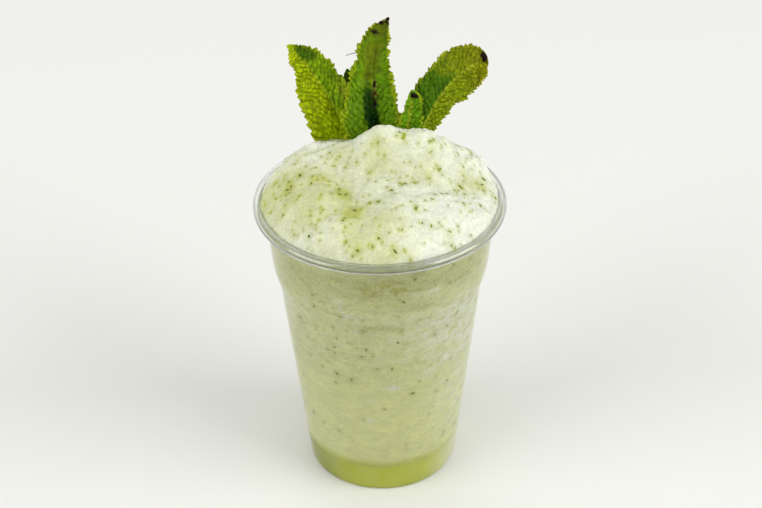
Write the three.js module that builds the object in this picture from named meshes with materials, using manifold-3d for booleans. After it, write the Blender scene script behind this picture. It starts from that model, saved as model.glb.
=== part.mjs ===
// Mint lemonade to go: a clear plastic cup heaped with lemon slush, a settled green layer at its foot,
// chopped mint scattered over the slush and five mint leaves standing in its top.
// Millimetres, +Z up. The cup stands on z = 0 round the Z axis and its front looks along -Y.
import * as THREE from 'three';
import { mergeVertices } from 'three/addons/utils/BufferGeometryUtils.js';
import Module from 'manifold-3d';

const wasm = await Module();
wasm.setup();

// The cup: wall, foot ring, shoulder and curled lip, as points (radius, height) of the middle of the wall.
const WALL = 0.6;
const FLOOR_CENTRE = [0, 3.3];
const FLOOR_EDGE = [23.5, 3.3];
const KICK_BEND = [25.6, 3.3];
const KICK_MIDDLE = [26.0, 1.8];
const RING_BEND = [26.3, 0.3];
const RING_INNER = [27.2, 0.3];
const RING_OUTER = [28.2, 0.3];
const FOOT_BEND = [29.42, 0.3];
const FOOT_TOP = [29.6, 1.9];
const SHOULDER_START = [38.45, 83.0];
const SHOULDER_LOWER_BEND = [38.7, 85.2];
const SHOULDER_MIDDLE = [39.8, 89.1];
const SHOULDER_UPPER_BEND = [40.9, 93.2];
const SHOULDER_END = [41.05, 95.0];
const LIP_START = [43.2, 116.4];
const LIP_INNER_BEND = [43.5, 119.7];
const LIP_CROWN = [45.4, 119.7];
const LIP_OUTER_BEND = [47.2, 119.7];
const LIP_SIDE = [47.2, 118.0];
const LIP_CURL_BEND = [47.2, 116.6];
const LIP_END = [46.0, 116.5];
const STEPS_AROUND = 44;
const STEPS_PER_BEND = 3;

// The drink: gap to the wall, level of the settled layer, and the heap above the rim.
const GAP = 0.3;
const SETTLED_LEVEL = 13;
const HEAP_EDGE = 118;
const HEAP_RISE = 14.7;
const HEAP_ROUNDNESS = 4;
const HEAP_FALL = 1.05;
const HEAP_PLAIN_EDGE = 0.1;
const HEAP_RINGS = 20;
const SIDE_HEIGHTS = [30, 48, 66, 83, 89.1, 95, 106];

// Lumps and hollows of the heap: centre x and y, spread, height.
const LUMPS = [
  [2, 5, 6.5, 12.7],
  [16.5, 4, 6.5, 11.4],
  [-8, 5, 6, 4.6],
  [-24, 9, 8.5, 5.9],
  [28, 6, 7.5, 4.7],
  [37, 16, 7, 4.1],
  [-36, 8, 6, 1.5],
  [33, -2, 7, -2.6],
  [8, -11, 8, -3.2],
  [25, -12, 7, -1.8],
  [-9.5, -21, 5.5, -2.8],
  [-22, -14, 7, 2.2],
  [12, -25, 8, 2.4],
];

// Chopped mint lying on the heap: how many, how far from the axis, and the size of the largest pieces.
const FLECK_COUNT = 36;
const FLECK_REACH = 40;
const FLECK_LENGTH = 3.0;
const FLECK_WIDTH = 0.9;
const FLECK_THICKNESS = 0.6;
const FLECK_FROM_LEAF = 13;
const FLECK_SEED = 11;

// Mint leaves: the midrib runs from base over bend to tip. Left and right are half widths at even steps along
// it. Facing, fold and groove are given at the base and at the tip: the face looks along facing, the margins
// lift towards that side by fold times the half width, and groove is low for a sharp crease at the midrib.
const LEAF_THICKNESS = 0.9;
const LEAF_CLEARANCE = 1.0;
const TIP_ROUNDING = 0.08;
const TIP_LEAST = 0.15;
const TOOTH_DEPTH = 0.05;
const RIPPLES = 20;
const RIPPLE_SLANT = 3;
const STEPS_ACROSS = 6;
const LEAVES = [
  {
    name: 'mint_leaf_left', colour: 0x6f9a1c, steps: 22, ripple: 0.35,
    base: [-6.3, 17.6, 123.6], bend: [-25.6, 32.1, 164.0], tip: [-34.0, 33.0, 166.5],
    facing: [[0.1, -1.0, 0.2], [-0.1, -1.0, 0.35]], fold: [0.4, 0.3], groove: [1.1, 1.2],
    left: [4, 12.2, 10.4, 6.9, 3.3, 0.6], right: [3, 7, 10, 8.6, 4.2, 0.6],
  },
  {
    name: 'mint_leaf_centre', colour: 0x6d8a1a, steps: 24, ripple: 0.3,
    base: [2.1, 13.6, 126.0], bend: [-7.0, 27.8, 163.0], tip: [4.2, 33.4, 177.5],
    facing: [[0.05, -1.0, 0.3], [0.05, -1.0, 0.3]], fold: [0.6, 0.5], groove: [0.75, 2.4],
    left: [4, 12.9, 10.6, 7.5, 5.9, 0.6], right: [3, 8.6, 7.7, 5.6, 3.6, 1.0],
  },
  {
    name: 'mint_leaf_right', colour: 0x7f9a1a, steps: 22, ripple: 0.4,
    base: [11.8, 16.0, 124.6], bend: [22.8, 26.9, 158.3], tip: [41.1, 28.2, 162.2],
    facing: [[0.1, -1.0, 0.25], [0.1, -1.0, 0.3]], fold: [-0.35, -0.15], groove: [1.1, 1.2],
    left: [3, 6, 9.6, 9.2, 9.3, 5], right: [2.5, 4.5, 6.9, 9.1, 8.7, 4.5],
  },
  {
    name: 'mint_leaf_right_small', colour: 0x5d8424, steps: 14, ripple: 0.2,
    base: [10.1, 8.2, 126.5], bend: [11.2, 12.0, 141.5], tip: [12.6, 16.0, 156.3],
    facing: [[0.2, -1.0, 0.2], [0.2, -1.0, 0.2]], fold: [0.35, 0.3], groove: [1.0, 1.2],
    left: [3, 4.2, 4.2, 3.8, 2.6, 0.5], right: [2.5, 3.8, 4.0, 3.8, 2.8, 0.5],
  },
  {
    name: 'mint_leaf_back', colour: 0x4c7420, steps: 14, ripple: 0.2,
    base: [-10.6, 25.7, 122.5], bend: [-11.2, 30.6, 142.5], tip: [-11.6, 34.0, 156.0],
    facing: [[0.0, -1.0, 0.2], [0.0, -1.0, 0.2]], fold: [0.3, 0.3], groove: [1.2, 1.2],
    left: [2, 3.5, 4, 4, 3, 0.8], right: [2, 3.5, 4, 4, 3, 0.8],
  },
];

function cupMiddle() {
  const path = new THREE.Path();
  path.moveTo(...FLOOR_CENTRE);
  path.lineTo(...FLOOR_EDGE);
  path.quadraticCurveTo(...KICK_BEND, ...KICK_MIDDLE);
  path.quadraticCurveTo(...RING_BEND, ...RING_INNER);
  path.lineTo(...RING_OUTER);
  path.quadraticCurveTo(...FOOT_BEND, ...FOOT_TOP);
  path.lineTo(...SHOULDER_START);
  path.quadraticCurveTo(...SHOULDER_LOWER_BEND, ...SHOULDER_MIDDLE);
  path.quadraticCurveTo(...SHOULDER_UPPER_BEND, ...SHOULDER_END);
  path.lineTo(...LIP_START);
  path.quadraticCurveTo(...LIP_INNER_BEND, ...LIP_CROWN);
  path.quadraticCurveTo(...LIP_OUTER_BEND, ...LIP_SIDE);
  path.quadraticCurveTo(...LIP_CURL_BEND, ...LIP_END);
  return path.getPoints(STEPS_PER_BEND);
}

// Moves a profile sideways: into the cup for a positive distance, outwards for a negative one.
function shifted(points, distance) {
  return points.map((point, i) => {
    const before = points[Math.max(i - 1, 0)];
    const after = points[Math.min(i + 1, points.length - 1)];
    const along = after.clone().sub(before).normalize();
    const across = i === 0 ? new THREE.Vector2(0, 1) : new THREE.Vector2(-along.y, along.x);
    return point.clone().addScaledVector(across, distance);
  });
}

const middle = cupMiddle();
const fillLine = shifted(middle, WALL / 2 + GAP);

// Radius of the drink at a height: the fill line between the foot and the lip.
function fillRadius(height) {
  const first = fillLine.findIndex((point) => point.x > RING_OUTER[0] && point.y > FOOT_TOP[1]);
  let i = first;
  while (fillLine[i + 1].y < height) {
    i += 1;
  }
  const share = (height - fillLine[i].y) / (fillLine[i + 1].y - fillLine[i].y);
  return THREE.MathUtils.lerp(fillLine[i].x, fillLine[i + 1].x, share);
}

function lathed(profile) {
  const geometry = new THREE.LatheGeometry(profile, STEPS_AROUND);
  geometry.rotateX(Math.PI / 2);
  return geometry;
}

function cupGeometry() {
  const outside = shifted(middle, -WALL / 2);
  const inside = shifted(middle, WALL / 2);
  return lathed([...outside, ...inside.reverse()]);
}

function settledGeometry() {
  const top = fillLine.findIndex((point) => point.y > SETTLED_LEVEL);
  const rim = new THREE.Vector2(fillRadius(SETTLED_LEVEL), SETTLED_LEVEL);
  const centre = new THREE.Vector2(0, SETTLED_LEVEL);
  return lathed([...fillLine.slice(0, top), rim, centre]);
}

// Height of the heap: a rounded mound that meets the wall at its edge, with lumps that die out there.
function heapHeight(x, y) {
  const share = Math.min(Math.hypot(x, y) / fillRadius(HEAP_EDGE - 1), 1);
  const mound = HEAP_RISE * Math.pow(1 - Math.pow(share, HEAP_ROUNDNESS), HEAP_FALL);
  const fade = THREE.MathUtils.smoothstep(1 - share, 0, HEAP_PLAIN_EDGE);
  const relief = LUMPS.reduce((sum, [lumpX, lumpY, spread, rise]) => {
    const away = (x - lumpX) ** 2 + (y - lumpY) ** 2;
    return sum + rise * Math.exp(-away / (2 * spread ** 2));
  }, 0);
  return HEAP_EDGE + mound + fade * relief;
}

// Closes a stack of rings between two end points into one surface, the first end point below.
function stacked(bottom, rings, top) {
  const count = rings[0].length;
  const points = [bottom, ...rings.flat(), top];
  const last = points.length - 1;
  const faces = [];
  for (let k = 0; k < count; k += 1) {
    const next = (k + 1) % count;
    faces.push(0, 1 + next, 1 + k);
    for (let ring = 0; ring < rings.length - 1; ring += 1) {
      const low = 1 + ring * count;
      const high = low + count;
      faces.push(low + k, low + next, high + next);
      faces.push(low + k, high + next, high + k);
    }
    const end = last - count;
    faces.push(end + k, end + next, last);
  }
  const geometry = new THREE.BufferGeometry().setFromPoints(points);
  geometry.setIndex(faces);
  return geometry;
}

function ringAt(radius, heightAt) {
  return Array.from({ length: STEPS_AROUND }, (unused, k) => {
    const angle = (2 * Math.PI * k) / STEPS_AROUND;
    const x = radius * Math.cos(angle);
    const y = radius * Math.sin(angle);
    return new THREE.Vector3(x, y, heightAt(x, y));
  });
}

function plainSlush() {
  const foot = SETTLED_LEVEL + GAP;
  const heights = [foot, ...SIDE_HEIGHTS, HEAP_EDGE - 1];
  const sides = heights.map((height) => ringAt(fillRadius(height), () => height));
  const rim = fillRadius(HEAP_EDGE - 1);
  const inwards = Array.from({ length: HEAP_RINGS }, (unused, k) => rim * (1 - k / HEAP_RINGS));
  const heap = inwards.map((radius) => ringAt(radius, heapHeight));
  const bottom = new THREE.Vector3(0, 0, foot);
  const top = new THREE.Vector3(0, 0, heapHeight(0, 0));
  return stacked(bottom, [...sides, ...heap], top);
}

// Half width of a leaf at a share of its length: a smooth line through the widths, rounded off at the tip.
function leafHalfWidth(widths, share) {
  const line = new THREE.SplineCurve(widths.map((width, i) => new THREE.Vector2(i, width)));
  const pastRounding = Math.max(share - 1 + TIP_ROUNDING, 0) / TIP_ROUNDING;
  return line.getPoint(share).y * Math.max(Math.sqrt(1 - pastRounding ** 2), TIP_LEAST);
}

// One leaf as a thin wavy sheet round its curved midrib, both faces split alike. Spare widens every side.
function leafGeometry(leaf, spare) {
  const midrib = new THREE.QuadraticBezierCurve3(
    new THREE.Vector3(...leaf.base), new THREE.Vector3(...leaf.bend), new THREE.Vector3(...leaf.tip),
  );
  const [facingBase, facingTip] = leaf.facing.map((direction) => new THREE.Vector3(...direction));
  const halfThickness = LEAF_THICKNESS / 2 + spare;
  const points = [];
  for (let i = 0; i <= leaf.steps; i += 1) {
    const share = i / leaf.steps;
    const along = midrib.getTangent(share);
    const facing = facingBase.clone().lerp(facingTip, share);
    const side = along.clone().cross(facing).normalize();
    const out = side.clone().cross(along).normalize();
    const endShift = i === 0 ? -spare : i === leaf.steps ? spare : 0;
    const centre = midrib.getPoint(share).addScaledVector(along, endShift);
    const tooth = i % 2 === 0 ? 1 + TOOTH_DEPTH : 1 - TOOTH_DEPTH;
    const fold = THREE.MathUtils.lerp(...leaf.fold, share);
    const groove = THREE.MathUtils.lerp(...leaf.groove, share);
    for (let j = 0; j <= STEPS_ACROSS; j += 1) {
      const offset = (2 * j) / STEPS_ACROSS - 1;
      const fromMidrib = Math.abs(offset);
      const half = leafHalfWidth(offset < 0 ? leaf.left : leaf.right, share);
      const reach = offset * (half * (fromMidrib === 1 ? tooth : 1) + spare);
      const ripple = leaf.ripple * Math.sin(share * RIPPLES + fromMidrib * RIPPLE_SLANT) * fromMidrib;
      const lift = fold * half * fromMidrib ** groove + ripple;
      const spot = centre.clone().addScaledVector(side, reach);
      points.push(spot.clone().addScaledVector(out, lift + halfThickness));
      points.push(spot.clone().addScaledVector(out, lift - halfThickness));
    }
  }
  const at = (i, j, back) => 2 * (i * (STEPS_ACROSS + 1) + j) + back;
  const faces = [];
  const quad = (a, b, c, d) => faces.push(a, b, c, a, c, d);
  for (let i = 0; i < leaf.steps; i += 1) {
    for (let j = 0; j < STEPS_ACROSS; j += 1) {
      quad(at(i, j, 0), at(i, j + 1, 0), at(i + 1, j + 1, 0), at(i + 1, j, 0));
      faces.push(at(i, j, 1), at(i + 1, j + 1, 1), at(i, j + 1, 1));
      faces.push(at(i, j, 1), at(i + 1, j, 1), at(i + 1, j + 1, 1));
    }
    quad(at(i, 0, 0), at(i + 1, 0, 0), at(i + 1, 0, 1), at(i, 0, 1));
    const edge = STEPS_ACROSS;
    quad(at(i, edge, 0), at(i, edge, 1), at(i + 1, edge, 1), at(i + 1, edge, 0));
  }
  for (let j = 0; j < STEPS_ACROSS; j += 1) {
    quad(at(0, j, 0), at(0, j, 1), at(0, j + 1, 1), at(0, j + 1, 0));
    const end = leaf.steps;
    quad(at(end, j, 0), at(end, j + 1, 0), at(end, j + 1, 1), at(end, j, 1));
  }
  const geometry = new THREE.BufferGeometry().setFromPoints(points);
  geometry.setIndex(faces);
  return geometry;
}

function toSolid(geometry) {
  const bare = geometry.clone();
  bare.deleteAttribute('normal');
  bare.deleteAttribute('uv');
  const merged = mergeVertices(bare, 1e-4);
  const vertProperties = new Float32Array(merged.attributes.position.array);
  const triVerts = new Uint32Array(merged.index.array);
  return new wasm.Manifold(new wasm.Mesh({ numProp: 3, vertProperties, triVerts }));
}

function toGeometry(solid) {
  const mesh = solid.getMesh();
  const geometry = new THREE.BufferGeometry();
  geometry.setAttribute('position', new THREE.BufferAttribute(new Float32Array(mesh.vertProperties), 3));
  geometry.setIndex(new THREE.BufferAttribute(new Uint32Array(mesh.triVerts), 1));
  return geometry;
}

// Repeatable random numbers from 0 to 1.
function randomFrom(seed) {
  let state = seed;
  return () => {
    state = (state * 16807) % 2147483647;
    return state / 2147483647;
  };
}

// A fleck of chopped mint lying flat on the heap, half sunk into it.
function fleckGeometry(random) {
  const away = FLECK_REACH * Math.sqrt(random());
  const bearing = 2 * Math.PI * random();
  const x = away * Math.cos(bearing);
  const y = away * Math.sin(bearing);
  const slopeX = heapHeight(x + 0.5, y) - heapHeight(x - 0.5, y);
  const slopeY = heapHeight(x, y + 0.5) - heapHeight(x, y - 0.5);
  const up = new THREE.Vector3(-slopeX, -slopeY, 1).normalize();
  const length = FLECK_LENGTH * (0.5 + 0.5 * random());
  const fleck = new THREE.Mesh(new THREE.BoxGeometry(length, FLECK_WIDTH, FLECK_THICKNESS));
  fleck.quaternion.setFromUnitVectors(new THREE.Vector3(0, 0, 1), up);
  fleck.rotateZ(Math.PI * random());
  fleck.position.set(x, y, heapHeight(x, y));
  fleck.updateMatrix();
  return { x, y, geometry: fleck.geometry.applyMatrix4(fleck.matrix) };
}

// The slush with its chopped mint, cut out round the feet of the leaves. Flecks keep clear of the leaves.
function slushGeometry() {
  const random = randomFrom(FLECK_SEED);
  const feet = LEAVES.map((leaf) => new THREE.Vector2((leaf.base[0] + leaf.bend[0]) / 2, leaf.base[1] + 2));
  let solid = toSolid(plainSlush());
  let placed = 0;
  while (placed < FLECK_COUNT) {
    const fleck = fleckGeometry(random);
    const spot = new THREE.Vector2(fleck.x, fleck.y);
    if (feet.every((foot) => foot.distanceTo(spot) > FLECK_FROM_LEAF)) {
      solid = solid.add(toSolid(fleck.geometry));
      placed += 1;
    }
  }
  LEAVES.forEach((leaf) => {
    solid = solid.subtract(toSolid(leafGeometry(leaf, LEAF_CLEARANCE)));
  });
  return toGeometry(solid);
}

function addMesh(group, name, geometry, look) {
  const mesh = new THREE.Mesh(geometry, new THREE.MeshStandardMaterial({ metalness: 0, ...look }));
  mesh.name = name;
  group.add(mesh);
}

const drink = new THREE.Group();
addMesh(drink, 'cup', cupGeometry(), { color: 0xe6ebe8, roughness: 0.08, transparent: true, opacity: 0.3 });
addMesh(drink, 'settled_lemonade', settledGeometry(), { color: 0xa2a744, roughness: 0.2 });
addMesh(drink, 'slush', slushGeometry(), { color: 0xe4e6cb, roughness: 0.5 });
LEAVES.forEach((leaf) => {
  addMesh(drink, leaf.name, leafGeometry(leaf, 0), { color: leaf.colour, roughness: 0.5 });
});

export default drink;
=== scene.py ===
import math
import random
import bpy
import numpy as np
from mathutils import Matrix, Vector, noise


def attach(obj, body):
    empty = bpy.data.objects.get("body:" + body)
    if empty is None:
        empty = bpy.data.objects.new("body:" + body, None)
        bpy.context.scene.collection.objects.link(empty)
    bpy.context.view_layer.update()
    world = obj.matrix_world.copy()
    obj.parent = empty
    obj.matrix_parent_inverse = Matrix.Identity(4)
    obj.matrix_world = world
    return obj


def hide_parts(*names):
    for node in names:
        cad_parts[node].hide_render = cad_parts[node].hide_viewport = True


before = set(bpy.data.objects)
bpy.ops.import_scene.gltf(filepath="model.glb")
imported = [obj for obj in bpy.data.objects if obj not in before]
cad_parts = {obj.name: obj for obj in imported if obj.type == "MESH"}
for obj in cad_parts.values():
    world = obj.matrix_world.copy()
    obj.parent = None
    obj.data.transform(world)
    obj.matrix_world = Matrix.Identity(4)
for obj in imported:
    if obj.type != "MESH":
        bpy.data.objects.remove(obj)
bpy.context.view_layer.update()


# The cup: a clear tapered drinks cup with a shoulder below the rim and a curled lip.
# It is drawn by heat and vacuum from one sheet of PET over a mould, so its walls are thin and glossy
# and its floor stands on a narrow ring.

# Sizes are in millimetres, and MM turns them into metres.
MM = 0.001
# An edge that turns by more than this shows as an edge, and any other is shaded smooth.
SHARP_EDGE = math.radians(60)
CUP_WALL = 0.6
CUP_STEPS_AROUND = 192
CUP_STEPS_PER_BEND = 10
CUP_STEPS_PER_RUN = 6
# The middle of the wall as radius and height, from the centre of the floor up to the curl of the lip.
# A straight run has only its end. A bend also has the corner that it rounds, before its end.
CUP_START = (0, 3.3)
CUP_PATH = [
    (None, (23.5, 3.3)),
    ((25.6, 3.3), (26.0, 1.8)),
    ((26.3, 0.3), (27.2, 0.3)),
    (None, (28.2, 0.3)),
    ((29.42, 0.3), (29.6, 1.9)),
    (None, (38.45, 83.0)),
    ((38.7, 85.2), (39.8, 89.1)),
    ((40.9, 93.2), (41.05, 95.0)),
    (None, (43.2, 116.4)),
    ((43.5, 119.7), (45.4, 119.7)),
    ((47.2, 119.7), (47.2, 118.0)),
    ((47.2, 116.6), (46.0, 116.5)),
]
PET_TINT = "#f6f8f5"
PET_WAVE_SIZE = 14
PET_WAVE_DEPTH = 0.3
# The grey of the rolled edge, painted shade for the dark line that the thick curl makes.
ROLLED_EDGE_SHADE = "#82857e"
# Radii between which the lip turns into its rolled edge, over which the painted grey shade comes in.
ROLLED_SHADE_RADII = (47.38, 47.5)
# The sockets of a mix node that mixes colours.
MIX_FACTOR = 0
MIX_A = 6
MIX_B = 7
MIX_RESULT = 2


# Turns an sRGB hex value into the linear colour that a shader takes.
def linear(hex_colour):
    parts = [int(hex_colour[i:i + 2], 16) / 255 for i in (1, 3, 5)]
    return tuple(p / 12.92 if p <= 0.04045 else ((p + 0.055) / 1.055) ** 2.4 for p in parts) + (1.0,)


# Adds a node with its settings. An input that is a socket is linked, and any other is set.
def add_node(material, kind, inputs=None, **settings):
    made = material.node_tree.nodes.new(kind)
    for name, value in settings.items():
        setattr(made, name, value)
    for socket, value in (inputs or {}).items():
        if isinstance(value, bpy.types.NodeSocket):
            material.node_tree.links.new(value, made.inputs[socket])
        else:
            made.inputs[socket].default_value = value
    return made


def new_material(name):
    material = bpy.data.materials.new(name)
    material.use_nodes = True
    material.node_tree.nodes.clear()
    return material


def add_piece(name, points_mm, faces, material):
    mesh = bpy.data.meshes.new(name)
    mesh.from_pydata((np.asarray(points_mm) * MM).tolist(), [], faces)
    mesh.polygons.foreach_set("use_smooth", [True] * len(mesh.polygons))
    mesh.set_sharp_from_angle(angle=SHARP_EDGE)
    mesh.materials.append(material)
    piece = bpy.data.objects.new(name, mesh)
    bpy.context.scene.collection.objects.link(piece)
    return piece


# Fixes a piece to the part's one body, in place of the solids that it shows.
def carried(piece, slot, *nodes):
    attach(piece, "root")
    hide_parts(*nodes)


# The middle of the cup's wall as a line of points.
def cup_middle(steps_per_bend, steps_per_run):
    points = [np.array(CUP_START, float)]
    for control, end in CUP_PATH:
        start = points[-1]
        end = np.array(end, float)
        steps = steps_per_run if control is None else steps_per_bend
        for step in range(1, steps + 1):
            t = step / steps
            if control is None:
                points.append(start + (end - start) * t)
            else:
                points.append((1 - t) ** 2 * start + 2 * t * (1 - t) * np.array(control) + t ** 2 * end)
    return np.array(points)


# A line moved sideways, to its left. At the axis it moves straight up.
def shifted(points, distance):
    along = np.gradient(points, axis=0)
    along /= np.linalg.norm(along, axis=1)[:, None]
    across = np.stack([-along[:, 1], along[:, 0]], axis=1)
    across[0] = (0, 1)
    return points + across * distance


def ring_faces(ring_count, steps_around):
    faces = []
    for ring in range(ring_count - 1):
        low = ring * steps_around
        high = low + steps_around
        for k in range(steps_around):
            after = (k + 1) % steps_around
            faces.append((low + k, low + after, high + after, high + k))
    return faces


# Joins rings of points into one closed skin, with a point at either end.
def closed_rings(rings, bottom, top):
    steps_around = len(rings[0])
    points = np.concatenate(list(rings) + [[bottom], [top]])
    faces = ring_faces(len(rings), steps_around)
    first = len(rings) * steps_around
    last_ring = first - steps_around
    for k in range(steps_around):
        after = (k + 1) % steps_around
        faces.append((first, after, k))
        faces.append((last_ring + k, last_ring + after, first + 1))
    return points, faces


# Turns a profile of radius and height round the upright axis.
def spun(profile, steps_around):
    angles = np.arange(steps_around) * 2 * math.pi / steps_around
    circle = np.stack([np.cos(angles), np.sin(angles), 0 * angles], axis=1)
    rings = [circle * radius + (0, 0, height) for radius, height in profile[1:-1]]
    return closed_rings(rings, (0, 0, profile[0][1]), (0, 0, profile[-1][1]))


# Goes softly from 0 at low to 1 at high, and falls with the value where low is the larger of the two.
def smooth_step(low, high, value):
    t = np.clip((value - low) / (high - low), 0, 1)
    return t * t * (3 - 2 * t)


def add_attribute(piece, name, kind, field, values):
    piece.data.attributes.new(name, kind, "POINT").data.foreach_set(field, np.ravel(values))


# PET, thermoformed: clear and very smooth, with soft waves from the mould that bend reflections a little.
# The rolled edge of the lip is several layers thick and turns light aside, and its dark line is painted on as
# a grey tint, a painted shade.
pet = new_material("PET, thermoformed")
pet_edge_shade = add_node(pet, "ShaderNodeAttribute", attribute_name="rolled")
pet_tint_and_edge_shade = add_node(pet, "ShaderNodeMix", {
    MIX_FACTOR: pet_edge_shade.outputs["Fac"], MIX_A: linear(PET_TINT), MIX_B: linear(ROLLED_EDGE_SHADE)},
    data_type="RGBA")
pet_place = add_node(pet, "ShaderNodeTexCoord")
pet_waves = add_node(pet, "ShaderNodeTexNoise", {
    "Vector": pet_place.outputs["Object"], "Scale": 1 / (PET_WAVE_SIZE * MM), "Detail": 1.0})
pet_bump = add_node(pet, "ShaderNodeBump", {
    "Height": pet_waves.outputs[0], "Strength": 0.15, "Distance": PET_WAVE_DEPTH * MM})
pet_shader = add_node(pet, "ShaderNodeBsdfPrincipled", {
    "Base Color": pet_tint_and_edge_shade.outputs[MIX_RESULT], "Roughness": 0.03, "IOR": 1.57, "Transmission Weight": 1.0,
    "Normal": pet_bump.outputs[0]})
add_node(pet, "ShaderNodeOutputMaterial", {"Surface": pet_shader.outputs[0]})

cup_line = cup_middle(CUP_STEPS_PER_BEND, CUP_STEPS_PER_RUN)
cup_outside = shifted(cup_line, -CUP_WALL / 2)
cup_inside = shifted(cup_line, CUP_WALL / 2)
cup_profile = np.concatenate([cup_outside, cup_inside[::-1]])
cup_points, cup_faces = spun(cup_profile, CUP_STEPS_AROUND)
cup = add_piece("cup_clear", cup_points, cup_faces, pet)
cup_radius = np.hypot(cup_points[:, 0], cup_points[:, 1])
# The rolled edge takes the painted grey shade.
add_attribute(cup, "rolled", "FLOAT", "value", smooth_step(*ROLLED_SHADE_RADII, cup_radius))
carried(cup, "clear_plastic", "cup")


# The settled layer: lemonade that has melted and run down to the foot of the cup, green from the mint.
# It fills the foot ring and reaches just into the wall, as a drink that wets the cup does.
SETTLED_LEVEL = 13
DRINK_INTO_WALL = 0.2
# The pale colour serves both the clouds of ice and the painted light, and the dark one is painted shade.
SETTLED_CLOUD_AND_LIT = "#f8f9cc"
SETTLED_DEEP = "#dae02c"
SETTLED_SHADED = "#b4bc00"
# Bearings in degrees to the right of the front between which the layer is painted paler, as painted light
# from the right, and between which it deepens again. The next two are to the left, where painted shade comes
# and goes.
SETTLED_LIGHT_RISES = (25, 70)
SETTLED_LIGHT_FADES = (72, 130)
SETTLED_SHADE_RISES = (15, 60)
SETTLED_SHADE_FADES = (100, 165)
CLOUD_SIZE = 7
DRINK_STEPS_PER_BEND = 8
DRINK_STEPS_PER_RUN = 24
# The drink lies against the wall outside this radius and below this height.
FOOT_CORNER = 28.4
LIP_HEIGHT = 119

drink_middle = cup_middle(DRINK_STEPS_PER_BEND, DRINK_STEPS_PER_RUN)
drink_line = shifted(drink_middle, CUP_WALL / 2 - DRINK_INTO_WALL)


# How far out the drink reaches at a height.
def drink_radius(height):
    wall = drink_line[(drink_line[:, 0] > FOOT_CORNER) & (drink_line[:, 1] < LIP_HEIGHT)]
    return np.interp(height, wall[:, 1], wall[:, 0])


# Mixes another colour into the points' colours, by a share for each point.
def blended(colour, other, share):
    return colour * (1 - share[:, None]) + np.array(linear(other)) * share[:, None]


# Lemonade, melted and cloudy: a glossy liquid with soft clouds of paler ice in deeper green.
lemonade = new_material("Lemonade, melted and cloudy")
lemonade_place = add_node(lemonade, "ShaderNodeTexCoord")
lemonade_clouds = add_node(lemonade, "ShaderNodeTexNoise", {
    "Vector": lemonade_place.outputs["Object"], "Scale": 1 / (CLOUD_SIZE * MM), "Detail": 4.0})
# The layer's colour, with the painted light at its right and the painted shade at its left.
lemonade_lit_and_shaded = add_node(lemonade, "ShaderNodeAttribute", attribute_name="settled_colour_light_and_shade")
lemonade_cloud_share = add_node(lemonade, "ShaderNodeMapRange", {
    "Value": lemonade_clouds.outputs[0], "From Min": 0.35, "From Max": 0.7, "To Min": 0.0, "To Max": 0.12})
lemonade_colour = add_node(lemonade, "ShaderNodeMix", {
    MIX_FACTOR: lemonade_cloud_share.outputs[0], MIX_A: lemonade_lit_and_shaded.outputs["Color"],
    MIX_B: linear(SETTLED_CLOUD_AND_LIT)}, data_type="RGBA")
lemonade_shader = add_node(lemonade, "ShaderNodeBsdfPrincipled", {
    "Base Color": lemonade_colour.outputs[MIX_RESULT], "Roughness": 0.25, "IOR": 1.34,
    "Subsurface Weight": 0.5, "Subsurface Radius": (1.0, 1.0, 0.3), "Subsurface Scale": 6 * MM})
add_node(lemonade, "ShaderNodeOutputMaterial", {"Surface": lemonade_shader.outputs[0]})

below = np.array([p for p in drink_line if p[1] < SETTLED_LEVEL])
below = below[:int(np.argmax(below[:, 0])) + 1]
settled_top = [(drink_radius(SETTLED_LEVEL), SETTLED_LEVEL), (0, SETTLED_LEVEL)]
settled_profile = np.concatenate([below, settled_top])
settled_points, settled_faces = spun(settled_profile, CUP_STEPS_AROUND)
settled = add_piece("settled_layer", settled_points, settled_faces, lemonade)
# The layer is painted paler at the right as painted light, and darker at the left as painted shade.
settled_bearing = np.degrees(np.arctan2(settled_points[:, 0], -settled_points[:, 1]))
settled_painted_light = smooth_step(*SETTLED_LIGHT_RISES, settled_bearing)
settled_painted_light -= smooth_step(*SETTLED_LIGHT_FADES, settled_bearing)
settled_painted_shade = smooth_step(*SETTLED_SHADE_RISES, -settled_bearing)
settled_painted_shade -= smooth_step(*SETTLED_SHADE_FADES, -settled_bearing)
settled_colour_light_and_shade = np.tile(np.array(linear(SETTLED_DEEP)), (len(settled_points), 1))
settled_colour_light_and_shade = blended(settled_colour_light_and_shade, SETTLED_SHADED, settled_painted_shade)
settled_colour_light_and_shade = blended(settled_colour_light_and_shade, SETTLED_CLOUD_AND_LIT, settled_painted_light)
add_attribute(settled, "settled_colour_light_and_shade", "FLOAT_COLOR", "color", settled_colour_light_and_shade)
carried(settled, "settled_lemonade", "settled_lemonade")


# The slush: crushed ice blended with lemon juice, sugar and mint, poured in and heaped above the rim.
# It is soft and wet, with puffy lumps, hollows and a fine icy grain, and it touches the wall all round.
HEAP_EDGE = 118
HEAP_RISE = 14.7
HEAP_ROUNDNESS = 4
HEAP_FALL = 1.05
# Shares of the radius at the edge over which lumps, and then puffs and grain, fade out.
HEAP_PLAIN_EDGE = 0.1
PUFFS_FADE = 0.06
HEAP_RINGS = 116
# Above 1 the rings lie closer together towards the edge.
RING_CROWDING = 1.15
SIDE_RINGS = 110
SLUSH_STEPS_AROUND = 440
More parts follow.
